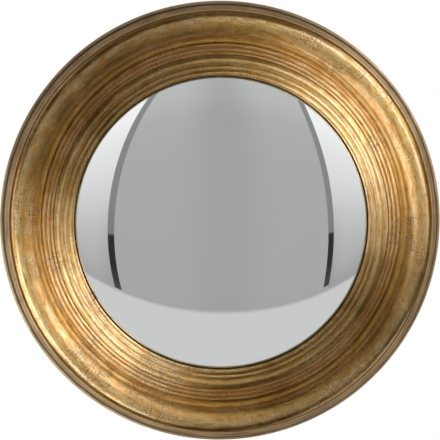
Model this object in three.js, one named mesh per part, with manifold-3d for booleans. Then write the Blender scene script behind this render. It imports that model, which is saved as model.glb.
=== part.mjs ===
// Round convex wall mirror in a gilded, built-up frame.
// Millimetres, +Z up. The mirror faces -Y, the wall is the plane y = 0, and the origin is the point of the
// wall where a hook carries the hanger ring. Heights are measured from the wall towards the room.

import * as THREE from 'three';
import { mergeVertices } from 'three/addons/utils/BufferGeometryUtils.js';
import Module from 'manifold-3d';

const wasm = await Module();
wasm.setup();

// ---- Driving dimensions ----

const fitGap = 0.3; // between pieces that touch

// Fineness of the round shapes, in flats round or along them
const ringSteps = 56;
const domeSteps = 8;
const reedSteps = 4;
const screwSteps = 12;
const padSteps = 16;
const wireSteps = 44;
const wireSides = 8;

// Glass
const sightRadius = 199; // edge of the glass that shows
const domeRadius = 400; // curve of the glass's front
const glassThickness = 3;
const glassCover = 8; // glass hidden behind the lip
const glassPlay = 1.5; // room round the glass's edge

// Sight slip: reeds from the sight edge outwards, on feet that fall towards the beads
const reedWidths = [8, 6.4, 12.9];
const reedRises = [1.2, 0.9, 2.2];
const slipFootInside = 17.6; // above the seat, at the sight edge
const slipFootOutside = 15.6; // above the seat, at the first bead
const lipThickness = 2;
const stripThickness = 1; // rubber strip between the lip and the glass
const stripMargin = 2; // from the strip to the sight edge and to the glass's edge

// Front moulding: beads, a cove and a cushion, with heights above the seat
const beadCount = 3;
const firstBeadWidth = 5;
const beadGrowth = 0.6; // each bead is this much wider than the last
const beadFoot = 14.3;
const beadRise = 2;
const coveInside = 3.2; // from the last bead to the cove's lowest line
const coveOutside = 7.4; // from the lowest line to the cushion
const coveBottom = 13.4;
const cushionInside = 21.5; // from the cove to the cushion's crest
const cushionOutside = 9.1; // from the crest to the rim
const cushionFoot = 14.5; // outside, at the rim
const cushionRise = 24;
const cushionPitch = 48; // degrees, the steepest slope, where the cove meets the cushion

// Back ring: a flat base with an outer rim
const standOff = 7; // wall to the frame's rear face
const baseDepth = 15; // rear face to the seat of moulding and slip
const rimBeadWidth = 3.4;
const rimBeadFoot = 14; // above the seat
const rimBeadRise = 1.6;
const bandWidth = 6.2; // sloping band outside the bead
const bandDrop = 6;
const bandCrown = 0.8;
const filletWidth = 5.5; // square fillet at the base of the rim
const filletDepth = 12;
const filletNose = 3;

// Back of the frame
const panelThickness = 3;
const panelLap = 6; // panel that rests on the back ring
const spacerWidth = 10;
const padRadius = 10;
const padTaper = 1;
const padInset = 40; // from the frame's outer edge to a pad's middle
const padAngles = [45, 135, 225, 315];

// Turn buttons and their screws
const buttonCount = 6;
const firstButtonAngle = 30;
const buttonLength = 36;
const buttonWidth = 12;
const buttonThickness = 1.5;
const buttonPivot = 10; // from the button's outer end to its screw
const buttonInset = 9; // from the panel's edge to the screw
const shankRadius = 1.75;
const screwCover = 3; // wood left past the screw's tip
const tipLength = 3;
const headRadius = 3.6;
const headDepth = 2.2;
const headDome = 1; // part of the head that is domed
const recessLength = 3.6;
const recessWidth = 1;
const recessDepth = 1.1;

// Hanger
const hangerInset = 38; // from the frame's outer edge to the ring's bar
const wireRadius = 1.3;
const loopLeg = 7; // from the bar to the arch
const bendRadius = 3;
const wireEndGap = 0.8; // between the wire's two ends, inside the strap's fold
const strapWidth = 16;
const strapThickness = 1;
const strapScrews = [9, 26]; // below the bar
const strapEnd = 6; // from the last screw to the strap's end

// ---- Sizes that follow ----

const sumOf = (values) => values.reduce((sum, value) => sum + value, 0);
const seat = standOff + baseDepth;
const slipRadius = sightRadius + sumOf(reedWidths);
const beadsStart = slipRadius + fitGap;
const beadWidths = Array.from({ length: beadCount }, (_, i) => firstBeadWidth + i * beadGrowth);
const coveStart = beadsStart + sumOf(beadWidths);
const coveLow = coveStart + coveInside;
const cushionStart = coveLow + coveOutside;
const crestRadius = cushionStart + cushionInside;
const mouldingRadius = crestRadius + cushionOutside;
const rimStart = mouldingRadius + fitGap;
const bandStart = rimStart + rimBeadWidth;
const filletStart = bandStart + bandWidth;
const frameRadius = filletStart + filletWidth;

const glassRadius = sightRadius + glassCover;
const rebateRadius = glassRadius + glassPlay;
const rearSphere = domeRadius - glassThickness;
const stripSphere = domeRadius + fitGap;
const lipSphere = stripSphere + stripThickness + fitGap;
const lipEdge = seat + slipFootInside - lipThickness;
const domeCentre = lipEdge - Math.sqrt(lipSphere ** 2 - sightRadius ** 2);

const panelRebate = rebateRadius + panelLap;
const panelLedge = standOff + panelThickness + fitGap;
const buttonRadius = panelRebate + buttonInset;
const screwLength = baseDepth - screwCover; // in the wood
const barRadius = frameRadius - hangerInset;
const foldBore = wireRadius + fitGap;
const foldRadius = foldBore + strapThickness;
const barStand = fitGap + foldRadius; // from the frame's rear face to the middle of the bar
const loopHalfWidth = strapWidth / 2 + fitGap + bendRadius; // to the middle of the wire
const strapTail = Math.max(...strapScrews) + strapEnd; // below the bar
const hangDrop = barRadius + loopLeg + loopHalfWidth - wireRadius; // from the hanging point to the axis

const buttonStep = 360 / buttonCount;
const buttonAngles = Array.from({ length: buttonCount }, (_, i) => firstButtonAngle + buttonStep * i);

// ---- Helpers ----

const rad = THREE.MathUtils.degToRad;
const deg = THREE.MathUtils.radToDeg;
const lerp = THREE.MathUtils.lerp;
const point = (x, y) => new THREE.Vector2(x, y);

// One closed shell: position only, shared corners, no empty triangles.
function shell(geometry) {
  geometry.deleteAttribute('normal');
  geometry.deleteAttribute('uv');
  const merged = mergeVertices(geometry, 1e-3);
  const corners = Array.from(merged.index.array);
  const kept = [];
  for (let i = 0; i < corners.length; i += 3) {
    const [a, b, c] = corners.slice(i, i + 3);
    if (a !== b && b !== c && c !== a) kept.push(a, b, c);
  }
  merged.setIndex(kept);
  return merged;
}

function toSolid(geometry) {
  const closed = shell(geometry);
  return new wasm.Manifold(new wasm.Mesh({
    numProp: 3,
    vertProperties: new Float32Array(closed.attributes.position.array),
    triVerts: new Uint32Array(closed.index.array),
  }));
}

function cutAway(geometry, tools) {
  let solid = toSolid(geometry);
  for (const tool of tools) solid = solid.subtract(toSolid(tool));
  const mesh = solid.getMesh();
  const cut = new THREE.BufferGeometry();
  cut.setAttribute('position', new THREE.BufferAttribute(mesh.vertProperties, 3));
  cut.setIndex(new THREE.BufferAttribute(mesh.triVerts, 1));
  cut.computeVertexNormals();
  return cut;
}

// A ring turned about the mirror's axis. Its outline, in radius and height, runs outwards along the rear,
// up the outer wall and back inwards over the front.
function turned(outline) {
  const closed = [...outline, outline[0].clone()];
  return new THREE.LatheGeometry(closed, ringSteps).rotateX(Math.PI);
}

// Half-round reed from its outer foot to its inner foot, without the inner foot itself.
function reed(outside, inside, rise) {
  return Array.from({ length: reedSteps }, (_, i) => {
    const share = i / reedSteps;
    return point(
      lerp(outside.x, inside.x, share),
      lerp(outside.y, inside.y, share) + rise * Math.sin(Math.PI * share),
    );
  });
}

// Part of an ellipse between two angles in degrees, without its last point.
function ellipseArc(centre, across, up, start, end, steps) {
  return Array.from({ length: steps }, (_, i) => {
    const angle = rad(lerp(start, end, i / steps));
    return point(centre.x + across * Math.cos(angle), centre.y + up * Math.sin(angle));
  });
}

const sphereHeight = (sphere, radius) => domeCentre + Math.sqrt(sphere ** 2 - radius ** 2);

// Points on a sphere about the dome's centre, from one radius to another, both included.
function sphereArc(sphere, fromRadius, toRadius, steps) {
  const from = Math.asin(fromRadius / sphere);
  const to = Math.asin(toRadius / sphere);
  return Array.from({ length: steps + 1 }, (_, i) => {
    const angle = lerp(from, to, i / steps);
    return point(sphere * Math.sin(angle), domeCentre + sphere * Math.cos(angle));
  });
}

// ---- Turned rings and glass ----

function backRing() {
  const beadFootHeight = seat + rimBeadFoot;
  const filletTop = standOff + filletDepth;
  const nose = point(frameRadius - filletNose, filletTop - filletNose);
  const bandEdge = point(filletStart, beadFootHeight - bandDrop);
  const bead = point(bandStart, beadFootHeight);
  const groove = point(rimStart, beadFootHeight);
  const outline = [
    point(panelRebate, standOff),
    point(frameRadius, standOff),
    ...ellipseArc(nose, filletNose, filletNose, 0, 90, 3),
    point(nose.x, filletTop),
    point(filletStart, filletTop),
    ...reed(bandEdge, bead, bandCrown),
    ...reed(bead, groove, rimBeadRise),
    groove,
    point(rimStart, seat),
    point(rebateRadius, seat),
    point(rebateRadius, panelLedge),
    point(panelRebate, panelLedge),
  ];
  return cutAway(turned(outline), pilotHoles());
}

function frontMoulding() {
  const floor = seat + fitGap;
  const foot = seat + cushionFoot;
  const crest = seat + cushionRise;
  const coveFloor = seat + coveBottom;
  // The cushion's inner side is part of an ellipse that leaves the cove's arc at the steepest slope.
  const coveRadius = coveOutside / Math.sin(rad(cushionPitch));
  const coveCentre = point(coveLow, coveFloor + coveRadius);
  const drop = crest - coveFloor - coveRadius * (1 - Math.cos(rad(cushionPitch)));
  const springSine = 1 / (Math.tan(rad(cushionPitch)) * cushionInside / drop - 1);
  const innerUp = drop / (1 - springSine);
  const innerAcross = cushionInside / Math.sqrt(1 - springSine ** 2);
  const springAngle = 180 - deg(Math.asin(springSine));
  const outline = [
    point(beadsStart, floor),
    point(mouldingRadius, floor),
    ...ellipseArc(point(crestRadius, foot), cushionOutside, crest - foot, 0, 90, 5),
    ...ellipseArc(point(crestRadius, crest - innerUp), innerAcross, innerUp, 90, springAngle, 6),
    ...ellipseArc(coveCentre, coveRadius, coveRadius, 270 + cushionPitch, 270, 4),
    ...ellipseArc(point(coveLow, seat + beadFoot), coveInside, beadFoot - coveBottom, 270, 180, 2),
  ];
  let outside = point(coveStart, seat + beadFoot);
  for (const width of [...beadWidths].reverse()) {
    const inside = point(outside.x - width, outside.y);
    outline.push(...reed(outside, inside, beadRise));
    outside = inside;
  }
  outline.push(outside);
  return turned(outline);
}

function sightSlip() {
  const floor = seat + fitGap;
  const slope = (slipFootOutside - slipFootInside) / (slipRadius - sightRadius);
  const footAt = (radius) => point(radius, seat + slipFootInside + slope * (radius - sightRadius));
  const outline = [point(rebateRadius, floor), point(slipRadius, floor)];
  let outside = footAt(slipRadius);
  for (let i = reedWidths.length - 1; i >= 0; i -= 1) {
    const inside = footAt(outside.x - reedWidths[i]);
    outline.push(...reed(outside, inside, reedRises[i]));
    outside = inside;
  }
  outline.push(outside);
  outline.push(...sphereArc(lipSphere, sightRadius, rebateRadius, 2));
  return turned(outline);
}

function convexMirror() {
  return turned([
    ...sphereArc(rearSphere, 0, glassRadius, domeSteps),
    ...sphereArc(domeRadius, glassRadius, 0, domeSteps),
  ]);
}

function glazingStrip() {
  const inside = sightRadius + stripMargin;
  const outside = glassRadius - stripMargin;
  return turned([
    ...sphereArc(stripSphere, inside, outside, 2),
    ...sphereArc(stripSphere + stripThickness, outside, inside, 2),
  ]);
}

function spacerRing() {
  const outside = rebateRadius - fitGap;
  const inside = outside - spacerWidth;
  const rear = panelLedge;
  const front = sphereHeight(rearSphere, glassRadius) - fitGap;
  return turned([
    point(inside, rear),
    point(outside, rear),
    point(outside, front),
    point(inside, front),
  ]);
}

function backPanel() {
  const edge = panelRebate - fitGap;
  return turned([
    point(0, standOff),
    point(edge, standOff),
    point(edge, standOff + panelThickness),
    point(0, standOff + panelThickness),
  ]);
}

// ---- Hardware ----
// On the frame's rear face: x across, y out of the face towards the wall, z away from the mirror's axis.

// Screw along y with its head towards the wall, on a piece whose top lies at clampHeight.
function screw(clampHeight) {
  const under = clampHeight + fitGap;
  const flat = under + headDepth - headDome;
  const outline = [
    point(0, -screwLength),
    point(shankRadius, tipLength - screwLength),
    point(shankRadius, under),
    point(headRadius, under),
    point(headRadius, flat),
    point(headRadius - headDome, flat + headDome),
    point(0, flat + headDome),
  ];
  const recess = [0, 90].map((angle) => {
    const bar = new THREE.BoxGeometry(recessLength, 2 * recessDepth, recessWidth);
    return bar.rotateY(rad(angle)).translate(0, flat + headDome, 0);
  });
  return cutAway(new THREE.LatheGeometry(outline, screwSteps), recess);
}

function hole(radius, fromHeight, toHeight) {
  const drill = new THREE.CylinderGeometry(radius, radius, toHeight - fromHeight, screwSteps);
  return drill.translate(0, (fromHeight + toHeight) / 2, 0);
}

// Every screw's place on the rear face: its angle from the top and its distance from the mirror's axis.
function screwPlaces() {
  const buttons = buttonAngles.map((angle) => ({ angle, radius: buttonRadius }));
  const hanger = strapScrews.map((drop) => ({ angle: 0, radius: barRadius - drop }));
  return [...buttons, ...hanger];
}

function pilotHoles() {
  return screwPlaces().map(({ angle, radius }) => hole(shankRadius + fitGap, -screwLength - fitGap, fitGap)
    .translate(0, -standOff, radius)
    .rotateY(rad(angle)));
}

function turnButton() {
  const outline = new THREE.Shape();
  const end = buttonWidth / 2;
  outline.absarc(0, end - buttonPivot, end, Math.PI, 2 * Math.PI);
  outline.absarc(0, buttonLength - buttonPivot - end, end, 0, Math.PI);
  outline.holes.push(new THREE.Path().absarc(0, 0, shankRadius + fitGap, 0, 2 * Math.PI, true));
  const plate = new THREE.ExtrudeGeometry(outline, {
    depth: buttonThickness,
    bevelEnabled: false,
    curveSegments: screwSteps / 2,
  });
  return plate.rotateX(-Math.PI / 2).translate(0, fitGap, 0);
}

// Strap of doubled steel, seen from its side: the fold goes round the ring's bar at the origin.
function hangerStrap() {
  const tailTop = 2 * strapThickness - foldRadius;
  const meeting = Math.asin(tailTop / foldRadius);
  const side = new THREE.Shape();
  side.moveTo(-strapTail, -foldRadius);
  side.absarc(0, 0, foldRadius, -Math.PI / 2, Math.PI - meeting);
  side.lineTo(-strapTail, tailTop);
  side.holes.push(new THREE.Path().absarc(0, 0, foldBore, 0, 2 * Math.PI, true));
  const folded = new THREE.ExtrudeGeometry(side, {
    depth: strapWidth,
    bevelEnabled: false,
    curveSegments: screwSteps,
  });
  folded.translate(0, 0, -strapWidth / 2);
  folded.rotateY(-Math.PI / 2);
  const drills = strapScrews.map((drop) => hole(shankRadius + fitGap, -barStand, barStand)
    .translate(0, 0, -drop));
  return cutAway(folded, drills);
}

// Middle line of the ring's wire, in the plane y = 0: half the bar, up, over the arch and down again.
class RingWire extends THREE.Curve {
  constructor() {
    super();
    const bendStart = loopHalfWidth - bendRadius;
    this.path = new THREE.Path();
    this.path.moveTo(wireEndGap / 2, 0);
    this.path.lineTo(bendStart, 0);
    this.path.absarc(bendStart, bendRadius, bendRadius, -Math.PI / 2, 0);
    this.path.lineTo(loopHalfWidth, loopLeg);
    this.path.absarc(0, loopLeg, loopHalfWidth, 0, Math.PI);
    this.path.lineTo(-loopHalfWidth, bendRadius);
    this.path.absarc(-bendStart, bendRadius, bendRadius, Math.PI, 1.5 * Math.PI);
    this.path.lineTo(-wireEndGap / 2, 0);
  }

  getPoint(share, target = new THREE.Vector3()) {
    const place = this.path.getPointAt(share);
    return target.set(place.x, 0, place.y);
  }
}

function hangerRing() {
  const section = new THREE.Shape().absarc(0, 0, wireRadius, 0, 2 * Math.PI);
  return new THREE.ExtrudeGeometry(section, {
    steps: wireSteps,
    extrudePath: new RingWire(),
    bevelEnabled: false,
    curveSegments: wireSides / 2,
  });
}

function wallPad() {
  return new THREE.LatheGeometry([
    point(0, fitGap),
    point(padRadius, fitGap),
    point(padRadius, standOff - padTaper),
    point(padRadius - padTaper, standOff),
    point(0, standOff),
  ], padSteps);
}

// ---- Assembly ----

const gilding = { color: 0xb08a4c, roughness: 0.45, metalness: 0.7 };
const bronze = { color: 0x86704f, roughness: 0.6, metalness: 0.3 };
const silver = { color: 0xe6e8ea, roughness: 0.03, metalness: 1 };
const foam = { color: 0x3c3a37, roughness: 0.95, metalness: 0 };
const rawWood = { color: 0xb89b72, roughness: 0.8, metalness: 0 };
const hardboard = { color: 0x6b4a30, roughness: 0.85, metalness: 0 };
const brass = { color: 0xb99a56, roughness: 0.4, metalness: 0.9 };
const steel = { color: 0xa9abad, roughness: 0.35, metalness: 0.9 };
const rubber = { color: 0x2a2a2b, roughness: 0.8, metalness: 0 };

const hungMirror = new THREE.Group();
const mirror = new THREE.Group();
mirror.position.z = -hangDrop;
hungMirror.add(mirror);

function addPiece(parent, name, geometry, finish) {
  const piece = new THREE.Mesh(geometry, new THREE.MeshStandardMaterial(finish));
  piece.name = name;
  parent.add(piece);
}

// A place on the frame's rear face, turned so that +Z points away from the mirror's axis.
function rearPlace(angle, radius, height = 0) {
  const spoke = new THREE.Group();
  spoke.rotation.y = rad(angle);
  const place = new THREE.Group();
  place.position.set(0, height - standOff, radius);
  spoke.add(place);
  mirror.add(spoke);
  return place;
}

addPiece(mirror, 'back_ring', backRing(), bronze);
addPiece(mirror, 'front_moulding', frontMoulding(), gilding);
addPiece(mirror, 'sight_slip', sightSlip(), gilding);
addPiece(mirror, 'convex_mirror', convexMirror(), silver);
addPiece(mirror, 'glazing_strip', glazingStrip(), foam);
addPiece(mirror, 'spacer_ring', spacerRing(), rawWood);
addPiece(mirror, 'back_panel', backPanel(), hardboard);

buttonAngles.forEach((angle, i) => {
  const place = rearPlace(angle, buttonRadius);
  addPiece(place, `turn_button_${i + 1}`, turnButton(), brass);
  addPiece(place, `turn_button_screw_${i + 1}`, screw(fitGap + buttonThickness), brass);
});

const bar = rearPlace(0, barRadius, barStand);
addPiece(bar, 'hanger_strap', hangerStrap(), steel);
addPiece(bar, 'hanger_ring', hangerRing(), steel);
strapScrews.forEach((drop, i) => {
  const place = rearPlace(0, barRadius - drop);
  addPiece(place, `hanger_screw_${i + 1}`, screw(fitGap + 2 * strapThickness), steel);
});

padAngles.forEach((angle, i) => {
  const place = rearPlace(angle, frameRadius - padInset);
  addPiece(place, `wall_pad_${i + 1}`, wallPad(), rubber);
});

export default hungMirror;
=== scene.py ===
import math

import bmesh
import bpy
import numpy as np
from mathutils import Matrix, Vector


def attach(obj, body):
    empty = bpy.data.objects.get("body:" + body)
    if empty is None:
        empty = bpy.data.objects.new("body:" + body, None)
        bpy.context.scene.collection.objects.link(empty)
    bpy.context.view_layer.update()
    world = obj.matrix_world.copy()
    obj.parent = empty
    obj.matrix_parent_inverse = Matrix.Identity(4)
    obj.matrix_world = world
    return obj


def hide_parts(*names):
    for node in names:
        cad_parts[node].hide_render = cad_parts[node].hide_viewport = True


# Round convex wall mirror in a gilded frame. The sizes of its pieces are millimetres, the studio's are
# metres. Heights are measured from the wall towards the room, and radii from the mirror's axis along Y.

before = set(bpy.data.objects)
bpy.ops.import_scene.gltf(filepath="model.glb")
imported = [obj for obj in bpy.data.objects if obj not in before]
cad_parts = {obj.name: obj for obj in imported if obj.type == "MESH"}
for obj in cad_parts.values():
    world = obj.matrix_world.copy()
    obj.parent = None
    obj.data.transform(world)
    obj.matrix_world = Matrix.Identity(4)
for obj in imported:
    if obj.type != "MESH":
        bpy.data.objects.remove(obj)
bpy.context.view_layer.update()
mm = 0.001
play = 0.3  # gap between pieces that fit together
axisHeight = -0.279  # metres, from the hanging point down to the axis
print("frame loaded:", len(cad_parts), "nodes")


# method of a wire that adds a Math node; swapped for a number on the left of the sign
def mathOperator(operation, swapped=False):
    def apply(self, other):
        return self.math(operation, other, self) if swapped else self.math(operation, self, other)
    return apply


# Nodes are written as expressions: a wire is one output socket, and sums and products add Math nodes.
class Wire:
    __add__, __radd__ = mathOperator("ADD"), mathOperator("ADD", True)
    __sub__, __rsub__ = mathOperator("SUBTRACT"), mathOperator("SUBTRACT", True)
    __mul__, __rmul__ = mathOperator("MULTIPLY"), mathOperator("MULTIPLY", True)
    __truediv__, __pow__ = mathOperator("DIVIDE"), mathOperator("POWER")
    larger = mathOperator("MAXIMUM")

    def __init__(self, tree, socket):
        self.tree = tree
        self.socket = socket

    def math(self, operation, first, second=0.0):
        return self.tree.make("ShaderNodeMath", {"operation": operation}, {0: first, 1: second})

    def sized(self):
        return self.math("ABSOLUTE", self)

    # smooth step from 0 at low to 1 at high; low may be the larger of the two
    def rising(self, low, high):
        return self.tree.make(
            "ShaderNodeMapRange",
            {"interpolation_type": "SMOOTHSTEP"},
            {"Value": self, "From Min": low, "From Max": high},
        )


class Tree:
    def __init__(self, nodeTree):
        self.nodes = nodeTree.nodes
        self.links = nodeTree.links

    # settings first, then the sockets' values or links; output picks the socket that comes back
    def make(self, kind, settings=None, values=None, output=0):
        node = self.nodes.new(kind)
        for name, value in (settings or {}).items():
            if name == "stops":
                self.fillRamp(node.color_ramp, value)
            else:
                setattr(node, name, value)
        for key, value in (values or {}).items():
            socket = node.inputs[key]
            if isinstance(value, Wire):
                self.links.new(value.socket, socket)
            elif socket.type == "RGBA" and len(value) == 3:
                socket.default_value = (*value, 1)
            else:
                socket.default_value = value
        return Wire(self, node.outputs[output]) if len(node.outputs) else node

    def fillRamp(self, ramp, stops):
        while len(ramp.elements) < len(stops):
            ramp.elements.new(0.5)
        for element, (place, shade) in zip(ramp.elements, stops):
            element.position = place
            element.color = (*shade, 1)

    def mixed(self, share, first, second, kind="MIX"):
        settings = {"data_type": "RGBA", "blend_type": kind}
        return self.make("ShaderNodeMix", settings, {0: share, 6: first, 7: second}, output=2)

    def noise(self, vector, scale, detail=2.0, roughness=0.5, distortion=0.0):
        values = {"Vector": vector, "Scale": scale, "Detail": detail, "Roughness": roughness}
        return self.make("ShaderNodeTexNoise", None, {**values, "Distortion": distortion})

    def cells(self, vector, scale, feature="F1"):
        values = {"Vector": vector, "Scale": scale}
        return self.make("ShaderNodeTexVoronoi", {"feature": feature}, values, "Distance")

    def stretched(self, vector, scale):
        return self.make("ShaderNodeMapping", None, {"Vector": vector, "Scale": scale})

    def attribute(self, name, kind="FLOAT"):
        return self.make("GeometryNodeInputNamedAttribute", {"data_type": kind}, {"Name": name}, "Attribute")

    def joined(self, x, y, z):
        return self.make("ShaderNodeCombineXYZ", None, {0: x, 1: y, 2: z})

    # the three wires of a place, by default the object's own coordinates
    def places(self, vector=None):
        place = vector or self.make("ShaderNodeTexCoord", output="Object")
        split = self.make("ShaderNodeSeparateXYZ", None, {0: place}).socket.node
        return [Wire(self, socket) for socket in split.outputs]


class Surface(Tree):
    # a material's own tree, with the places that patterns are drawn on
    def __init__(self, name):
        self.material = bpy.data.materials.new(name)
        self.material.use_nodes = True
        super().__init__(self.material.node_tree)
        self.nodes.clear()
        values = {"Vector": self.make("ShaderNodeTexCoord", output="Object"), "Location": (0, 0, -axisHeight)}
        self.place = self.make("ShaderNodeMapping", None, values)  # metres from the axis
        self.x, self.y, self.z = self.places(self.place)

    # adds the directions round the axis: unit vector and radius
    def turning(self):
        self.radius = (self.x ** 2 + self.z ** 2) ** 0.5
        self.unitX = self.x / self.radius
        self.unitZ = self.z / self.radius
        self.across = self.make("ShaderNodeAttribute", {"attribute_name": "across"}, None, "Fac")
        self.relief = self.make("ShaderNodeAttribute", {"attribute_name": "relief"}, None, "Fac")

    # 0 to 1 between two radii in millimetres
    def stepped(self, edge):
        return self.radius.rising(edge[0] * mm, edge[1] * mm)

    # 1 in a ring with soft edges
    def ringed(self, inside, outside):
        return self.stepped(inside) * self.stepped(outside)

    # noise coordinates that are stretched round the ring or across it
    def band(self, roundCount, acrossCount):
        return self.joined(self.unitX * roundCount, self.unitZ * roundCount, self.across * acrossCount)

    def turned(self, roundCount, acrossCount, *details):
        return self.noise(self.band(roundCount, acrossCount), 1.0, *details)

    def finish(self, values, bumps=()):
        normal = None
        for height, distance, strength in bumps:
            inputs = {"Height": height, "Distance": distance, "Strength": strength}
            if normal:
                inputs["Normal"] = normal
            normal = self.make("ShaderNodeBump", None, inputs)
        if normal:
            values = {**values, "Normal": normal}
        shader = self.make("ShaderNodeBsdfPrincipled", None, values)
        self.make("ShaderNodeOutputMaterial", None, {"Surface": shader})
        return self.material


# A ring's outline is a list of (radius, height), outwards along the rear, up the outer wall and back
# inwards over the front.

def lineTo(first, last, steps):
    return [tuple(np.array(first) + (np.array(last) - np.array(first)) * i / steps) for i in range(steps)]


def reed(outside, inside, rise, steps=16):
    line = lineTo(outside, inside, steps)
    return [(r, h + rise * math.sin(math.pi * i / steps)) for i, (r, h) in enumerate(line)]


def ellipseArc(centre, across, up, start, end, steps):
    angles = [math.radians(start + (end - start) * i / steps) for i in range(steps)]
    return [(centre[0] + across * math.cos(a), centre[1] + up * math.sin(a)) for a in angles]


def sphereArc(sphere, fromRadius, toRadius, steps):
    start, end = math.asin(fromRadius / sphere), math.asin(toRadius / sphere)
    angles = [start + (end - start) * i / steps for i in range(steps + 1)]
    return [(sphere * math.sin(a), domeCentre + sphere * math.cos(a)) for a in angles]


# rounds each corner that turns by more than the limit
def easeCorners(points, size, closed, limit=0.45, steps=3):
    eased = []
    count = len(points)
    for i, corner in enumerate(points):
        here = np.array(corner)
        if not closed and i in (0, count - 1):
            eased.append(corner)
            continue
        back = np.array(points[i - 1]) - here
        ahead = np.array(points[(i + 1) % count]) - here
        backLength, aheadLength = np.linalg.norm(back), np.linalg.norm(ahead)
        turn = math.pi - math.acos(np.clip(back @ ahead / (backLength * aheadLength), -1, 1))
        if turn < limit:
            eased.append(corner)
            continue
        reach = min(size, 0.4 * backLength, 0.4 * aheadLength)
        start, end = here + back / backLength * reach, here + ahead / aheadLength * reach
        for k in range(steps + 1):
            t = k / steps
            eased.append(tuple(start * (1 - t) ** 2 + here * 2 * t * (1 - t) + end * t ** 2))
    return eased


# splits long stretches, so that no step is longer than the spacing given
def splitLong(points, spacing, closed):
    split = []
    ends = points[1:] + (points[:1] if closed else [])
    for first, last in zip(points, ends):
        steps = max(1, math.ceil(math.dist(first, last) / spacing))
        split += lineTo(first, last, steps)
    return split if closed else split + [points[-1]]


# distance along the outline, and height above its smoothed line: 1 on a bead's crest, -1 in a groove
def outlineFacts(points, closed, reach=2.6, full=0.45):
    line = np.array(points)
    steps = np.linalg.norm(np.roll(line, -1, axis=0) - line, axis=1)
    along = np.concatenate([[0], np.cumsum(steps)[:-1]])
    whole = steps.sum()
    gap = np.abs(along[:, None] - along[None, :])
    if closed:
        gap = np.minimum(gap, whole - gap)
    weight = np.exp(-((gap / reach) ** 2)) * (steps + np.roll(steps, 1))[None, :]
    smooth = weight @ line / weight.sum(1)[:, None]
    ahead = np.roll(line, -1, axis=0) - np.roll(line, 1, axis=0)
    outward = np.stack([ahead[:, 1], -ahead[:, 0]], 1)
    outward /= np.maximum(np.linalg.norm(outward, axis=1), 1e-9)[:, None]
    relief = np.clip(((line - smooth) * outward).sum(1) / full, -1, 1)
    return along, relief


# group, its tree, and the wires of its inputs by name
def newGeometryTree(name, sockets):
    group = bpy.data.node_groups.new(name, "GeometryNodeTree")
    group.interface.new_socket("Geometry", in_out="INPUT", socket_type="NodeSocketGeometry")
    for label, kind in sockets.items():
        group.interface.new_socket(label, in_out="INPUT", socket_type=kind)
    group.interface.new_socket("Geometry", in_out="OUTPUT", socket_type="NodeSocketGeometry")
    tree = Tree(group)
    given = group.nodes.new("NodeGroupInput")
    return group, tree, {socket.name: Wire(tree, socket) for socket in given.outputs if socket.name}


def closeTree(tree, geometry, material):
    solid = tree.make("GeometryNodeRealizeInstances", None, {0: geometry})
    painted = tree.make("GeometryNodeSetMaterial", None, {"Geometry": solid, "Material": material})
    tree.make("NodeGroupOutput", None, {0: painted})


def turningTree():
    group, tree, given = newGeometryTree("turnRound", {
        "Path Radius": "NodeSocketFloat",
        "Flats": "NodeSocketInt",
        "Axis Height": "NodeSocketFloat",
        "Unevenness": "NodeSocketFloat",
        "Corner Angle": "NodeSocketFloat",
        "Material": "NodeSocketMaterial",
    })
    outline = tree.make("GeometryNodeMeshToCurve", None, {0: given["Geometry"]})
    sizes = {"Resolution": given["Flats"], "Radius": given["Path Radius"]}
    circle = tree.make("GeometryNodeCurvePrimitiveCircle", None, sizes)
    path = tree.make("GeometryNodeSetCurveNormal", {"mode": "Z_UP"}, {0: circle})
    ring = tree.make("GeometryNodeCurveToMesh", None, {"Curve": path, "Profile Curve": outline})
    welded = tree.make("GeometryNodeMergeByDistance", None, {"Geometry": ring, "Distance": 0.00001})
    # hand finishing: the surface dips by up to the unevenness, never outwards
    place = tree.make("GeometryNodeInputPosition")
    dips = tree.noise(place, 34.0, 2.0)
    depth = dips * tree.attribute("worked") * given["Unevenness"] * -1
    normal = tree.make("GeometryNodeInputNormal")
    offset = tree.make("ShaderNodeVectorMath", {"operation": "SCALE"}, {0: normal, "Scale": depth})
    uneven = tree.make("GeometryNodeSetPosition", None, {"Geometry": welded, "Offset": offset})
    smoothing = {"Geometry": uneven, "Shade Smooth": True}
    smooth = tree.make("GeometryNodeSetShadeSmooth", {"domain": "FACE"}, smoothing)
    angle = tree.make("GeometryNodeInputMeshEdgeAngle", None, None, "Unsigned Angle")
    sharper = {0: angle, 1: given["Corner Angle"]}
    corner = tree.make("FunctionNodeCompare", {"operation": "GREATER_THAN"}, sharper)
    creased = tree.make(
        "GeometryNodeSetShadeSmooth", {"domain": "EDGE"},
        {"Geometry": smooth, "Selection": corner, "Shade Smooth": False},
    )
    upright = tree.make(
        "GeometryNodeTransform", None,
        {"Geometry": creased, "Translation": tree.joined(0.0, 0.0, given["Axis Height"]),
         "Rotation": (-math.pi / 2, 0, 0)},
    )
    closeTree(tree, upright, given["Material"])
    return group


# runs a tree on an object and keeps the result as a plain mesh
def runTree(piece, group, values):
    modifier = piece.modifiers.new("build", "NODES")
    modifier.node_group = group
    for label, value in values.items():
        modifier[group.interface.items_tree[label].identifier] = value
    graph = bpy.context.evaluated_depsgraph_get()
    mesh = bpy.data.meshes.new_from_object(piece.evaluated_get(graph))
    piece.modifiers.remove(modifier)
    rough = piece.data
    piece.data = mesh
    bpy.data.meshes.remove(rough)
    mesh.name = piece.name
    return piece


def addObject(name, mesh):
    piece = bpy.data.objects.new(name, mesh)
    bpy.context.scene.collection.objects.link(piece)
    return piece


turnRound = turningTree()


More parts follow.
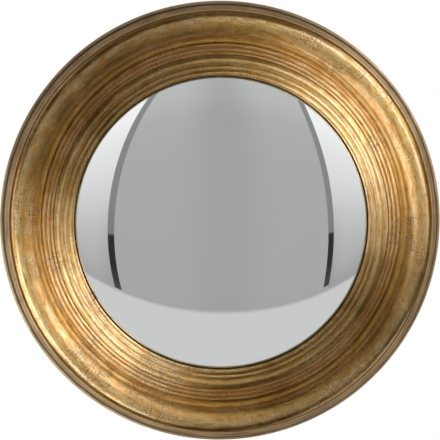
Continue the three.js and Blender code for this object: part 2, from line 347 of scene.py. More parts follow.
def turnedPiece(name, outline, material, sizes, closed=True):
    points = splitLong(easeCorners(outline, sizes["easing"], closed), sizes["spacing"], closed)
    along, relief = outlineFacts(points, closed)
    pathRadius = max(r for r, h in points)
    mesh = bpy.data.meshes.new(name)
    corners = [((r - pathRadius) * mm, h * mm, 0) for r, h in points]
    last = len(corners) if closed else len(corners) - 1
    mesh.from_pydata(corners, [(i, (i + 1) % len(corners)) for i in range(last)], [])
    worked = [1.0 if h > sizes.get("workedAbove", 1e9) else 0.0 for r, h in points]
    for label, values in {"across": along * mm, "relief": relief, "worked": np.array(worked)}.items():
        layer = mesh.attributes.new(label, "FLOAT", "POINT")
        layer.data.foreach_set("value", values.astype(np.float32))
    piece = addObject(name, mesh)
    runTree(piece, turnRound, {
        "Path Radius": pathRadius * mm,
        "Flats": sizes.get("flats", 320),
        "Axis Height": axisHeight,
        "Unevenness": sizes.get("unevenness", 0) * mm,
        "Corner Angle": math.radians(50),
        "Material": material,
    })
    return piece


def hand(piece, body, slot, *nodes):
    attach(piece, body)
    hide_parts(*nodes)


# gold leaf over red bole, toned, rubbed and varnished
def goldLeaf(name, look):
    s = Surface(name)
    s.turning()
    clouds = s.noise(s.place, look["cloudScale"], 4.0, 0.6)
    mottle = s.turned(14.0, 150.0, 4.0, 0.66, 0.9)  # orange and lemon patches
    streaks = s.turned(5.0, 260.0, 3.0, 0.6)  # soft bands that follow the turning
    lines = s.turned(9.0, 1500.0, 2.0, 0.6)  # fine lathe lines
    coarse = s.turned(14.0, 620.0, 2.0, 0.5)
    strokes = s.turned(250.0, 60.0, 2.0, 0.5)  # brush marks across the ring
    brushed = s.noise(s.place, 19.0, 2.0).rising(0.48, 0.62)
    scratches = s.turned(6.0, 780.0, 1.0, 0.5)
    grain = s.noise(s.place, 900.0, 3.0, 0.6)
    # leaf colour: deep where the toning lies, pale where it is rubbed
    tone = (mottle * 0.65 + clouds * 0.15 + streaks * 0.3).rising(0.42, 0.68)
    leaf = s.mixed(tone, look["leafDeep"], look["leafPale"])
    groove = (s.relief * -1 + (streaks - 0.5) * 0.4).rising(0.1, 0.9)
    toned = s.mixed(groove * look["glaze"], leaf, look["glazeColour"], "MULTIPLY")
    # painted shade on the lip at the sight edge, and toning settled in the cove
    sight = s.stepped(leafRings["sight"])
    hollow = s.ringed(*leafRings["hollow"])
    settled = s.mixed(hollow * (0.75 + streaks * 0.5), toned, look["hollowColour"], "MULTIPLY")
    # orange flanks and a pale, rubbed top on the cushion
    flank = s.ringed(*leafRings["innerFlank"]).larger(s.ringed(*leafRings["outerFlank"]))
    orange = flank * (mottle.rising(0.62, 0.40) * 0.8 + 0.2)
    warm = s.mixed(orange, settled, look["flankColour"], "MULTIPLY")
    top = s.ringed(*leafRings["top"]) * mottle.rising(0.40, 0.56)
    crest = (s.relief + (coarse - 0.5) * 1.4 + (clouds - 0.5)).rising(0.7, 1.2)
    stroked = (strokes.rising(0.54, 0.68) * brushed).larger(crest * 0.8)
    rub = (stroked * 0.7 * (1 - hollow)).larger(top * 0.55)
    rubbed = s.mixed(rub, warm, look["leafRubbed"])
    # darkens the lip at the sight edge: painted shade
    bright = s.mixed(sight * 0.12, rubbed, look["sightShadeColour"])
    # red bole where the leaf is worn through
    wearing = coarse * 0.45 + grain * 0.35 + clouds * 0.35
    wear = wearing.rising(look["wearFrom"], look["wearFrom"] + 0.06)
    worn = s.mixed(wear * look["wear"], bright, look["bole"])
    # dark scratches along the turning, crackle and specks, in patches
    scored = scratches.rising(0.57, 0.64) * s.noise(s.place, 15.0, 2.0).rising(0.46, 0.58)
    patch = s.noise(s.place, 17.0, 2.0).rising(0.49, 0.60)
    ragged = {0: s.band(70.0, 270.0), 1: s.joined(grain, grain, 0.0)}
    bent = s.make("ShaderNodeVectorMath", {"operation": "ADD"}, ragged)
    cracks = s.cells(bent, 1.0, "DISTANCE_TO_EDGE").rising(0.15, 0.05)
    crackle = cracks * patch * strokes.rising(0.44, 0.56)
    spots = s.cells(s.band(150.0, 330.0), 1.0).rising(0.34, 0.2)
    specks = spots * s.noise(s.place, 60.0, 1.0).rising(0.56, 0.64)
    marks = crackle.larger(specks)
    scoredColour = s.mixed(scored * look["scratch"], worn, look["scratchColour"], "MULTIPLY")
    colour = s.mixed(marks * look["marks"], scoredColour, look["markColour"])
    dull = (wear * look["wear"] * 0.8).larger(marks * 0.6).larger(scored * 0.3)
    worked = (clouds - 0.5) * 0.08 - (mottle - 0.5) * 0.1 + (grain - 0.5) * 0.12
    bumps = [
        (lines, look["lineDepth"] * mm, 1.0),
        (coarse, look["coarseDepth"] * mm, 1.0),
        (strokes * brushed, look["strokeDepth"] * mm, 1.0),
        (marks.larger(scored) * -1, 0.05 * mm, 1.0),
    ]
    return s.finish({
        "Base Color": colour,
        "Metallic": 1 - dull,
        "Roughness": worked + groove * 0.1 + look["roughness"],
        "Coat Weight": look["varnish"] * (1 - dull) * (0.45 + tone * 0.55) * (1 - hollow * 0.6),
        "Coat Roughness": look["varnishRoughness"],
        "Coat IOR": look["varnishIor"],
        "Coat Tint": look["varnishTint"],
    }, bumps)


# where the toning, the rubbing and the painted shade at the sight edge lie: radii of a soft edge at the
# inside and one at the outside, and for the sight one edge alone
leafRings = {
    "hollow": ((237, 245), (266, 250)),
    "innerFlank": ((254, 260), (272, 266)), "outerFlank": ((278, 281), (301, 300)),
    "top": ((267, 273), (281, 277)), "sight": (200.6, 199.6),
}
cushionLook = {
    "leafDeep": (0.68, 0.365, 0.075), "leafPale": (0.86, 0.60, 0.24), "leafRubbed": (0.96, 0.74, 0.41),
    "bole": (0.16, 0.05, 0.025), "glazeColour": (0.80, 0.66, 0.44), "sightShadeColour": (0.10, 0.06, 0.03),
    "hollowColour": (0.80, 0.70, 0.50), "flankColour": (1.0, 0.88, 0.60),
    "markColour": (0.075, 0.038, 0.016), "scratchColour": (0.42, 0.33, 0.24), "scratch": 0.7,
    "cloudScale": 16.0, "glaze": 0.9, "wear": 0.8, "wearFrom": 0.68, "marks": 0.85,
    "roughness": 0.31, "varnish": 1.0, "varnishRoughness": 0.24, "varnishIor": 2.2,
    "varnishTint": (1.0, 0.93, 0.78), "lineDepth": 0.30, "coarseDepth": 0.13, "strokeDepth": 0.15,
}
slipLook = {**cushionLook, "cloudScale": 22.0, "wearFrom": 0.70}
cushionGold = goldLeaf("cushionGold", cushionLook)
slipGold = goldLeaf("slipGold", slipLook)


# growth rings and pores of straight boards that run along X
def woodColour(s, light, dark, grainScale=1.0):
    figure = s.noise(s.stretched(s.place, (6, 90, 90)), 0.6 * grainScale, 4.0, 0.6, 0.6)
    rings = s.make("ShaderNodeMath", {"operation": "PINGPONG"}, {0: figure * 9, 1: 0.5}) * 2
    pores = s.noise(s.stretched(s.place, (60, 1400, 1400)), 1.0, 2.0)
    shade = (rings * 0.45 + figure * 0.4 + pores * 0.3).rising(0.2, 0.95)
    return s.mixed(shade, light, dark), pores


def bronzedWood(look):
    s = Surface("bronzedWood")
    s.turning()
    clouds = s.noise(s.place, 26.0, 4.0, 0.6)
    lines = s.turned(9.0, 1300.0, 2.0, 0.6)
    streaks = s.turned(8.0, 420.0, 3.0, 0.6)
    grain = s.noise(s.place, 1100.0, 3.0, 0.6)
    tone = (clouds * 0.4 + streaks * 0.6).rising(0.36, 0.64)
    paint = s.mixed(tone, look["bronzeDeep"], look["bronzePale"])
    groove = (s.relief * -1 + (streaks - 0.5) * 0.6).rising(0.1, 0.9)
    toned = s.mixed(groove * 0.8, paint, look["glazeColour"], "MULTIPLY")
    # gold rubbed through on the crests, made brighter to stand also for a painted highlight on the rim bead
    edge = (s.relief + (grain - 0.5) * 0.8 + (clouds - 0.5)).rising(0.55, 1.1)
    rubbed = s.mixed(edge * 0.8, toned, look["goldRubAndHighlight"])
    spots = s.cells(s.band(230.0, 520.0), 1.0).rising(0.22, 0.12)
    specks = spots * s.noise(s.place, 55.0, 1.0).rising(0.55, 0.7)
    # painted shade in the corner between the band and the fillet, where the step's foot lies in shadow
    corner = s.ringed(*look["corner"])
    cornerShaded = s.mixed(corner * (0.6 + streaks * 0.5), rubbed, look["cornerShadeColour"])
    marked = s.mixed(specks * 0.8, cornerShaded, look["speckColour"])
    # the paint stops raggedly at the rear edge and doesn't reach the rebate
    ragged = (s.noise(s.place, 120.0, 3.0) - 0.5) * 2.6 * mm
    bare, covered = look["paintRear"]
    painted = (s.y * -1 + ragged).rising(bare * mm, covered * mm) * s.stepped(look["paintInside"])
    wood, pores = woodColour(s, (0.60, 0.43, 0.24), (0.40, 0.25, 0.12))
    soiled = s.mixed(s.noise(s.place, 9.0, 4.0).rising(0.45, 0.75) * 0.35, wood, (0.25, 0.15, 0.08))
    colour = s.mixed(painted, soiled, marked)
    metal = painted * (1 - specks) * (look["metal"] + edge * 0.25)
    rough = painted * (look["roughness"] + (grain - 0.5) * 0.2 - edge * 0.1) + (1 - painted) * 0.72
    height = painted * lines + (1 - painted) * pores * 0.6
    bumps = [(height, 0.14 * mm, 1.0), (streaks, 0.25 * mm, 1.0), (grain, 0.02 * mm, 1.0)]
    return s.finish({"Base Color": colour, "Metallic": metal, "Roughness": rough}, bumps)


# corner, the ring of painted shade at the step's foot, and paintInside are radii, paintRear heights
rimLook = {
    "bronzeDeep": (0.22, 0.135, 0.065), "bronzePale": (0.40, 0.27, 0.14), "glazeColour": (0.5, 0.36, 0.24),
    "goldRubAndHighlight": (0.62, 0.45, 0.22), "cornerShadeColour": (0.06, 0.035, 0.02), "speckColour": (0.03, 0.02, 0.014),
    "metal": 0.45, "roughness": 0.46,
    "corner": ((292.4, 293.6), (296.8, 295.8)), "paintRear": (7.6, 8.3), "paintInside": (281, 282),
}
bronzeRim = bronzedWood(rimLook)


def rawWood():
    s = Surface("rawWood")
    wood, pores = woodColour(s, (0.62, 0.46, 0.27), (0.42, 0.27, 0.14), 1.3)
    values = {"Base Color": wood, "Roughness": 0.62 + pores * 0.2}
    return s.finish(values, [(pores, 0.12 * mm, 1.0)])


def hardboardBrown():
    s = Surface("hardboardBrown")
    fibre = s.noise(s.place, 420.0, 4.0, 0.7, 1.2)
    flakes = s.cells(s.place, 300.0).rising(0.28, 0.12) * s.noise(s.place, 130.0, 2.0).rising(0.5, 0.62)
    clouds = s.noise(s.place, 7.0, 3.0)
    base = s.mixed(clouds.rising(0.35, 0.65), (0.145, 0.078, 0.040), (0.205, 0.118, 0.062))
    brown = s.mixed(fibre.rising(0.40, 0.66) * 0.6, base, (0.27, 0.165, 0.09))
    colour = s.mixed(flakes * 0.6, brown, (0.07, 0.035, 0.018))
    rough = 0.5 + (fibre - 0.5) * 0.5
    return s.finish({"Base Color": colour, "Roughness": rough}, [(fibre, 0.09 * mm, 1.0)])


def rubberBlack(name, base, grainScale):
    s = Surface(name)
    grain = s.noise(s.place, grainScale, 3.0, 0.7)
    dust = s.noise(s.place, 60.0, 3.0).rising(0.5, 0.8)
    colour = s.mixed(dust * 0.35 + grain * 0.2, base, (0.11, 0.105, 0.10))
    return s.finish({"Base Color": colour, "Roughness": 0.62 + dust * 0.25}, [(grain, 0.12 * mm, 1.0)])


def brassDull(name, look):
    s = Surface(name)
    tarnish = s.noise(s.place, 75.0, 4.0, 0.65)
    wipes = s.noise(s.stretched(s.place, (900, 900, 140)), 1.0, 2.0)
    spots = s.cells(s.place, 380.0).rising(0.24, 0.08) * tarnish.rising(0.5, 0.62)
    colour = s.mixed(tarnish.rising(0.4, 0.7), look["bright"], look["dull"])
    spotted = s.mixed(spots * 0.75, colour, look["spot"])
    rough = look["roughness"] + (tarnish - 0.5) * 0.35 + (wipes - 0.5) * 0.12
    values = {"Base Color": spotted, "Metallic": 1 - spots * 0.5, "Roughness": rough}
    return s.finish(values, [(wipes, 0.012 * mm, 1.0), (spots * -1, 0.02 * mm, 1.0)])


brassLook = {
    "bright": (0.74, 0.52, 0.22), "dull": (0.50, 0.33, 0.13), "spot": (0.12, 0.06, 0.025), "roughness": 0.34,
}
zincLook = {
    "bright": (0.62, 0.63, 0.63), "dull": (0.42, 0.43, 0.42), "spot": (0.30, 0.22, 0.14), "roughness": 0.36,
}


seat = 22  # where moulding and slip sit on the carcass
cushionSizes = {
    "start": 226.6, "beadWidths": [5, 5.6, 6.2], "beadFoot": 14.3, "beadRise": 2,
    "coveLow": 246.6, "coveInside": 3.2, "coveOutside": 7.4, "coveBottom": 13.4,
    "crest": 275.5, "inside": 21.5, "outside": 9.1, "foot": 14.5, "rise": 24, "pitch": 48,
    "spacing": 0.5, "easing": 0.35, "unevenness": 0.16, "workedAbove": 30,
}


def cushionOutline(c):
    floor, foot, crest = seat + play, seat + c["foot"], seat + c["rise"]
    edge = c["crest"] + c["outside"]
    # the cove is a round arc, and the cushion's ellipse leaves it at the steepest slope
    pitch, lowest = math.radians(c["pitch"]), seat + c["coveBottom"]
    coveRadius = c["coveOutside"] / math.sin(pitch)
    drop = crest - lowest - coveRadius * (1 - math.cos(pitch))
    spring = math.asin(1 / (math.tan(pitch) * c["inside"] / drop - 1))
    innerUp, innerAcross = drop / (1 - math.sin(spring)), c["inside"] / math.cos(spring)
    outline = [(c["start"], floor), (edge, floor)]
    outline += ellipseArc((c["crest"], foot), c["outside"], crest - foot, 0, 90, 30)
    innerEnd = 180 - math.degrees(spring)
    outline += ellipseArc((c["crest"], crest - innerUp), innerAcross, innerUp, 90, innerEnd, 48)
    coveCentre = (c["coveLow"], lowest + coveRadius)
    outline += ellipseArc(coveCentre, coveRadius, coveRadius, 270 + c["pitch"], 270, 20)
    beadFoot = seat + c["beadFoot"]
    outline += ellipseArc((c["coveLow"], beadFoot), c["coveInside"], beadFoot - lowest, 270, 180, 12)
    outside = (c["coveLow"] - c["coveInside"], beadFoot)
    for width in reversed(c["beadWidths"]):
        inside = (outside[0] - width, outside[1])
        outline += reed(outside, inside, c["beadRise"], 14)
        outside = inside
    return outline + [outside]


slipSizes = {
    "sight": 199, "rebate": 208.5, "lipSphere": 401.6, "lip": 2,
    "widths": [8, 6.4, 12.9], "rises": [1.2, 0.9, 2.2], "footInside": 17.6, "footOutside": 15.6,
    "spacing": 0.45, "easing": 0.3, "unevenness": 0.12, "workedAbove": 36,
}
lipEdge = seat + slipSizes["footInside"] - slipSizes["lip"]
domeCentre = lipEdge - math.sqrt(slipSizes["lipSphere"] ** 2 - slipSizes["sight"] ** 2)


def slipOutline(c):
    edge = c["sight"] + sum(c["widths"])
    slope = (c["footOutside"] - c["footInside"]) / (edge - c["sight"])

    def footAt(radius):
        return radius, seat + c["footInside"] + slope * (radius - c["sight"])

    outline = [(c["rebate"], seat + play), (edge, seat + play)]
    outside = footAt(edge)
    for width, rise in reversed(list(zip(c["widths"], c["rises"]))):
        inside = footAt(outside[0] - width)
        outline += reed(outside, inside, rise, 16)
        outside = inside
    return outline + [outside] + sphereArc(c["lipSphere"], c["sight"], c["rebate"], 12)


rimSizes = {
    "rear": 7, "edge": 300, "start": 284.9, "beadWidth": 3.4, "beadFoot": 14, "beadRise": 1.6,
    "bandWidth": 6.2, "bandDrop": 6, "bandCrown": 0.8, "filletDepth": 12, "nose": 3,
    "rebate": 208.5, "panelRebate": 214.5, "ledge": 10.3,
    "spacing": 0.6, "easing": 0.35, "unevenness": 0.1, "workedAbove": 17,
}


def rimOutline(c):
    foot, filletTop = seat + c["beadFoot"], c["rear"] + c["filletDepth"]
    bandStart = c["start"] + c["beadWidth"]
    filletStart = bandStart + c["bandWidth"]
    nose = (c["edge"] - c["nose"], filletTop - c["nose"])
    outline = [(c["panelRebate"], c["rear"]), (c["edge"], c["rear"])]
    outline += ellipseArc(nose, c["nose"], c["nose"], 0, 90, 8) + [(nose[0], filletTop)]
    outline += [(filletStart, filletTop)]
    outline += reed((filletStart, foot - c["bandDrop"]), (bandStart, foot), c["bandCrown"], 20)
    outline += reed((bandStart, foot), (c["start"], foot), c["beadRise"], 14)
    return outline + [
        (c["start"], foot), (c["start"], seat), (c["rebate"], seat),
        (c["rebate"], c["ledge"]), (c["panelRebate"], c["ledge"]),
    ]


cushion = turnedPiece("cushion_moulding", cushionOutline(cushionSizes), cushionGold, cushionSizes)
hand(cushion, "frame", "gilded_wood", "front_moulding")
slip = turnedPiece("reeded_slip", slipOutline(slipSizes), slipGold, slipSizes)
hand(slip, "frame", "gilded_slip", "sight_slip")
rim = turnedPiece("rim_ring", rimOutline(rimSizes), bronzeRim, rimSizes)
hand(rim, "frame", "bronzed_wood", "back_ring")
print("frame rings turned")


glassSizes = {
    "dome": 400, "thickness": 3, "radius": 207, "silverEnds": (193, 198), "spacing": 3.5, "easing": 0.4,
}


def silvered():
    s = Surface("silveredGlass")
    smear = s.noise(s.place, 18.0, 3.0, 0.6)
    dust = s.noise(s.place, 900.0, 1.0).rising(0.66, 0.78)
    s.turning()
    # thin darker line where the silver ends, and a faint cast of green glass
    rimShade = s.stepped(glassSizes["silverEnds"])
    silver = s.mixed(rimShade * 0.35, (0.93, 0.945, 0.94), (0.55, 0.60, 0.58))
    colour = s.mixed(dust * 0.12, silver, (0.75, 0.74, 0.72))
    rough = 0.012 + smear * 0.015 + dust * 0.05
    return s.finish({"Base Color": colour, "Metallic": 1.0, "Roughness": rough})


glassOutline = (
    sphereArc(glassSizes["dome"] - glassSizes["thickness"], 0, glassSizes["radius"], 56)
    + sphereArc(glassSizes["dome"], glassSizes["radius"], 0, 56)
)
glass = turnedPiece("domed_glass", glassOutline, silvered(), glassSizes, closed=False)
hand(glass, "frame", "mirror_glass", "convex_mirror")

stripSizes = {
    "inside": 201, "outside": 205, "sphere": 400.3, "thickness": 1,
    "spacing": 1.5, "easing": 0.2, "flats": 200,
}
stripFront = stripSizes["sphere"] + stripSizes["thickness"]
stripOutline = (
    sphereArc(stripSizes["sphere"], stripSizes["inside"], stripSizes["outside"], 4)
    + sphereArc(stripFront, stripSizes["outside"], stripSizes["inside"], 4)
)
stripRubber = rubberBlack("foamStrip", (0.03, 0.03, 0.03), 1500.0)
strip = turnedPiece("rubber_strip", stripOutline, stripRubber, stripSizes)
hand(strip, "frame", "strip_rubber", "glazing_strip")


# section with four corners; a disc's starts at the axis
def squareSection(inside, outside, rear, front):
    return [(inside, rear), (outside, rear), (outside, front), (inside, front)]


spacerSizes = {"inside": 198.2, "outside": 208.2, "rear": 10.3, "spacing": 2.0, "easing": 0.4, "flats": 240}
glassRear = math.sqrt((glassSizes["dome"] - glassSizes["thickness"]) ** 2 - glassSizes["radius"] ** 2)
spacerFront = domeCentre + glassRear - play
spacerOutline = squareSection(spacerSizes["inside"], spacerSizes["outside"], spacerSizes["rear"], spacerFront)
spacer = turnedPiece("spacer_hoop", spacerOutline, rawWood(), spacerSizes)
hand(spacer, "frame", "raw_wood", "spacer_ring")

boardSizes = {"radius": 214.2, "rear": 7, "thickness": 3, "spacing": 6.0, "easing": 0.5, "flats": 240}
boardFront = boardSizes["rear"] + boardSizes["thickness"]
boardOutline = squareSection(0, boardSizes["radius"], boardSizes["rear"], boardFront)
board = turnedPiece("back_board", boardOutline, hardboardBrown(), boardSizes, closed=False)
hand(board, "frame", "hardboard", "back_panel")
print("glass and back board made")


# Local frame of a fixing on the rear face: x across, y towards the wall, z away from the mirror's axis.

def rearPlace(angle, radius, height=0.0):
    turn = Matrix.Rotation(math.radians(angle), 4, "Y")
    rear = Matrix.Translation((0, (height - rimSizes["rear"]) * mm, radius * mm))
    return Matrix.Translation((0, 0, axisHeight)) @ turn @ rear


def meshFromBmesh(name, shape, smoothAngle=40):
    bmesh.ops.recalc_face_normals(shape, faces=shape.faces)
    mesh = bpy.data.meshes.new(name)
    shape.to_mesh(mesh)
    shape.free()
    mesh.shade_smooth()
    mesh.set_sharp_from_angle(angle=math.radians(smoothAngle))
    return mesh


# turned round the local y axis; outline in radius and height
def spun(outline, flats):
    shape = bmesh.new()
    rows = []
    for radius, height in outline:
        if radius < 1e-6:
            rows.append([shape.verts.new((0, height, 0))])
            continue
        turns = [2 * math.pi * i / flats for i in range(flats)]
        rows.append([shape.verts.new((radius * math.sin(a), height, radius * math.cos(a))) for a in turns])
    for low, high in zip(rows, rows[1:]):
        for i in range(flats):
            k = (i + 1) % flats
            ring = [low[i % len(low)], low[k % len(low)], high[k % len(high)], high[i % len(high)]]
            shape.faces.new(list(dict.fromkeys(ring)))
    return shape


# flat plate cut along its loops, thickened by a step and eased where it turns sharply
def cutPlate(name, loops, step, easing, shortest=0.0):
    shape = bmesh.new()
    edges = []
    for loop in loops:
        verts = [shape.verts.new(corner) for corner in loop]
        edges += [shape.edges.new((verts[i], verts[(i + 1) % len(verts)])) for i in range(len(verts))]
    bmesh.ops.triangle_fill(shape, edges=edges, use_beauty=True)
    made = bmesh.ops.extrude_face_region(shape, geom=shape.faces[:])
    lifted = [v for v in made["geom"] if isinstance(v, bmesh.types.BMVert)]
    bmesh.ops.translate(shape, vec=step, verts=lifted)
    corners = [e for e in shape.edges if len(e.link_faces) == 2 and e.calc_face_angle(0) > 1]  # radians
    sharp = [e for e in corners if e.calc_length() > shortest]
    bmesh.ops.bevel(shape, geom=sharp, offset=easing, segments=3, profile=0.5, affect="EDGES")
    return meshFromBmesh(name, shape)


# points round a circle's arc, angles in radians
def arcPoints(centre, radius, start, end, count):
    angles = np.linspace(start, end, count)
    return [(centre[0] + radius * math.cos(a), centre[1] + radius * math.sin(a)) for a in angles]


def fixingTree():
    group, tree, given = newGeometryTree("placeFixings", {
        "Fixing": "NodeSocketObject",
        "Material": "NodeSocketMaterial",
    })
    fixing = tree.make("GeometryNodeObjectInfo", None, {"Object": given["Fixing"]}, "Geometry")
    rotation = tree.make("FunctionNodeEulerToRotation", None, {0: tree.attribute("turn", "FLOAT_VECTOR")})
    placed = tree.make(
        "GeometryNodeInstanceOnPoints", None,
        {"Points": given["Geometry"], "Instance": fixing, "Rotation": rotation},
    )
    closeTree(tree, placed, given["Material"])
    return group


placeFixings = fixingTree()


# one mesh with a copy of the fixing at each place; a place is its angle, radius and own twist
def repeatedPiece(name, mesh, places, material):
    pattern = addObject(name + "_pattern", mesh)
    points = bpy.data.meshes.new(name)
    matrices = [rearPlace(angle, radius) @ Matrix.Rotation(twist, 4, "Y") for angle, radius, twist in places]
    points.from_pydata([m.to_translation() for m in matrices], [], [])
    layer = points.attributes.new("turn", "FLOAT_VECTOR", "POINT")
    layer.data.foreach_set("vector", np.array([m.to_euler() for m in matrices], np.float32).ravel())
    piece = addObject(name, points)
    runTree(piece, placeFixings, {"Fixing": pattern, "Material": material})
    bpy.data.objects.remove(pattern)
    return piece


screwSizes = {
    "length": 12, "tip": 3, "shank": 1.75, "head": 3.6, "headDepth": 2.2, "dome": 1.0, "easing": 0.25,
    "slotLength": 3.6, "slotWidth": 1.0, "slotDepth": 1.1, "flats": 32,
}


# pan-head wood screw with a cross recess, over a plate as thick as the clamp
def screwMesh(name, clamp):
    c = screwSizes
    under = clamp + play
    top = under + c["headDepth"]
    shank = [(0, -c["length"]), (c["shank"], c["tip"] - c["length"]), (c["shank"], under)]
    head = [(c["head"] - c["easing"], under), (c["head"], under + c["easing"])]
    dome = arcPoints((c["head"] - c["dome"], top - c["dome"]), c["dome"], 0, math.pi / 2, 7)
    outline = [(r * mm, h * mm) for r, h in shank + head + dome + [(0, top)]]
    body = addObject(name + "_body", meshFromBmesh(name, spun(outline, c["flats"])))
    cutter = bmesh.new()
    slot = (c["slotLength"] * mm, 2 * c["slotDepth"] * mm, c["slotWidth"] * mm)
    for angle in (0, 90):
        made = bmesh.ops.create_cube(cutter, size=1)["verts"]
        bmesh.ops.scale(cutter, vec=slot, verts=made)
        bmesh.ops.translate(cutter, vec=(0, top * mm, 0), verts=made)
        turn = Matrix.Rotation(math.radians(angle), 3, "Y")
        bmesh.ops.rotate(cutter, cent=(0, 0, 0), matrix=turn, verts=made)
    tool = addObject(name + "_tool", meshFromBmesh(name + "_tool", cutter))
    cut = body.modifiers.new("recess", "BOOLEAN")
    cut.operation, cut.solver, cut.object = "DIFFERENCE", "EXACT", tool
    cut.use_self = True
    graph = bpy.context.evaluated_depsgraph_get()
    recessed = bpy.data.meshes.new_from_object(body.evaluated_get(graph))
    bpy.data.objects.remove(body)
    bpy.data.objects.remove(tool)
    recessed.set_sharp_from_angle(angle=math.radians(40))
    return recessed


buttonSizes = {
    "length": 36, "width": 12, "thickness": 1.5, "pivot": 10, "hole": 2.05, "bevel": 0.3,
    "first": 30, "radius": 223.5, "twists": [0.4, 1.1, 0.15, 0.8, 1.3, 0.6],
}


def buttonMesh():
    c = buttonSizes
    end = c["width"] / 2
    low = arcPoints((0, end - c["pivot"]), end, math.pi, 2 * math.pi, 21)
    high = arcPoints((0, c["length"] - c["pivot"] - end), end, 0, math.pi, 21)
    hole = arcPoints((0, 0), c["hole"], 0, 2 * math.pi, 25)[:-1]
    loops = [[(x * mm, play * mm, z * mm) for x, z in line] for line in (low + high, hole)]
    return cutPlate("button", loops, (0, c["thickness"] * mm, 0), c["bevel"] * mm)


brass = brassDull("brassPressed", brassLook)
screwBrass = brassDull("brassTurned", {**brassLook, "roughness": 0.28})
zinc = brassDull("zincPlate", zincLook)


# single piece at its own place on the rear face
def placedPiece(name, mesh, place, material):
    mesh.transform(place)
    mesh.materials.append(material)
    return addObject(name, mesh)


plate = buttonMesh()
screwPlaces = []
for i, twist in enumerate(buttonSizes["twists"], 1):
    angle = buttonSizes["first"] + 360 / len(buttonSizes["twists"]) * (i - 1)
    screwPlaces.append((angle, buttonSizes["radius"], twist))
    button = placedPiece(f"button_{i}", plate.copy(), rearPlace(angle, buttonSizes["radius"]), brass)
    hand(button, f"turn_button_{i}", "button_brass", f"turn_button_{i}")

buttonScrew = screwMesh("buttonScrew", play + buttonSizes["thickness"])
buttonScrews = repeatedPiece("button_screws", buttonScrew, screwPlaces, screwBrass)
hand(buttonScrews, "frame", "screw_brass", *[f"turn_button_screw_{i}" for i in range(1, 7)])

hangerSizes = {
    "bar": 262, "stand": 2.9, "strapWidth": 16, "strapThickness": 1, "bore": 1.6, "fold": 2.6, "tail": 32,
    "easing": 0.25, "screws": {9: 0.5, 26: 1.2},  # how far below the bar, and how far turned
    "wire": 1.3, "leg": 7, "halfWidth": 11.3, "bend": 3, "endGap": 0.8, "endTaper": 0.75, "endBevel": 0.3,
    "sides": 20,
}


# strap folded round the ring's bar; its side outline is drawn along z and y
def strapMesh():
    c = hangerSizes
    tailTop = 2 * c["strapThickness"] - c["fold"]
    meeting = math.asin(tailTop / c["fold"])
    outer = [(-c["tail"], -c["fold"])]
    outer += arcPoints((0, 0), c["fold"], -math.pi / 2, math.pi - meeting, 40)
    outer += [(-c["tail"], tailTop)]
    inner = arcPoints((0, 0), c["bore"], 0, 2 * math.pi, 41)[:-1]
    half = c["strapWidth"] / 2
    loops = [[(-half * mm, y * mm, z * mm) for z, y in line] for line in (outer, inner)]
    return cutPlate("strap", loops, (c["strapWidth"] * mm, 0, 0), c["easing"] * mm, 3 * mm)


# one ring of corners round the wire
def wireRing(shape, middle, side, radius):
    ring = []
    for k in range(hangerSizes["sides"]):
        turn = 2 * math.pi * k / hangerSizes["sides"]
        x, z = middle + side * radius * math.cos(turn)
        ring.append(shape.verts.new((x * mm, radius * math.sin(turn) * mm, z * mm)))
    return ring


# D-ring: a bar with a gap in its middle, two bends and a round bow
def wireMesh():
    c = hangerSizes
    half, bend, leg, quarter = c["halfWidth"], c["bend"], c["leg"], math.pi / 2
    path = [(c["endGap"] / 2, 0)]
    path += arcPoints((half - bend, bend), bend, -quarter, 0, 10)
    path += arcPoints((0, leg), half, 0, 2 * quarter, 48)
    path += arcPoints((bend - half, bend), bend, 2 * quarter, 3 * quarter, 10)
    path += [(-c["endGap"] / 2, 0)]
    line = np.array(splitLong(path, 1.2, False))
    last = len(line) - 1
    narrow = c["wire"] * c["endTaper"]
    shape = bmesh.new()
    rows = []
    for i, middle in enumerate(line):
        ahead = line[min(i + 1, last)] - line[max(i - 1, 0)]
        ahead = ahead / np.linalg.norm(ahead)
        side = np.array([ahead[1], -ahead[0]])
        if i == 0:
            rows.append(wireRing(shape, middle, side, narrow))
        inward = {0: 1, last: -1}.get(i, 0) * c["endBevel"]
        rows.append(wireRing(shape, middle + ahead * inward, side, c["wire"]))
        if i == last:
            rows.append(wireRing(shape, middle, side, narrow))
    for low, high in zip(rows, rows[1:]):
        for k in range(len(low)):
            after = (k + 1) % len(low)
            shape.faces.new((low[k], low[after], high[after], high[k]))
    shape.faces.new(rows[0])
    shape.faces.new(rows[-1][::-1])
    return meshFromBmesh("wire", shape)


barPlace = rearPlace(0, hangerSizes["bar"], hangerSizes["stand"])
strap = placedPiece("hanger_plate", strapMesh(), barPlace, zinc)
hand(strap, "frame", "plated_steel", "hanger_strap")
ring = placedPiece("wire_ring", wireMesh(), barPlace, zinc)
hand(ring, "hanger_ring", "plated_steel", "hanger_ring")
screwPlaces = [(0, hangerSizes["bar"] - drop, twist) for drop, twist in hangerSizes["screws"].items()]
hangerScrew = screwMesh("hangerScrew", play + 2 * hangerSizes["strapThickness"])
hangerScrews = repeatedPiece("hanger_screws", hangerScrew, screwPlaces, zinc)
hand(hangerScrews, "frame", "plated_steel", "hanger_screw_1", "hanger_screw_2")

padSizes = {
    "radius": 10, "thickness": 7, "taper": 1, "easing": 0.3,
    "grooveOutside": 3.2, "grooveInside": 5.8, "grooveDepth": 0.6,
    "place": 260, "angles": [45, 135, 225, 315], "flats": 48,
}


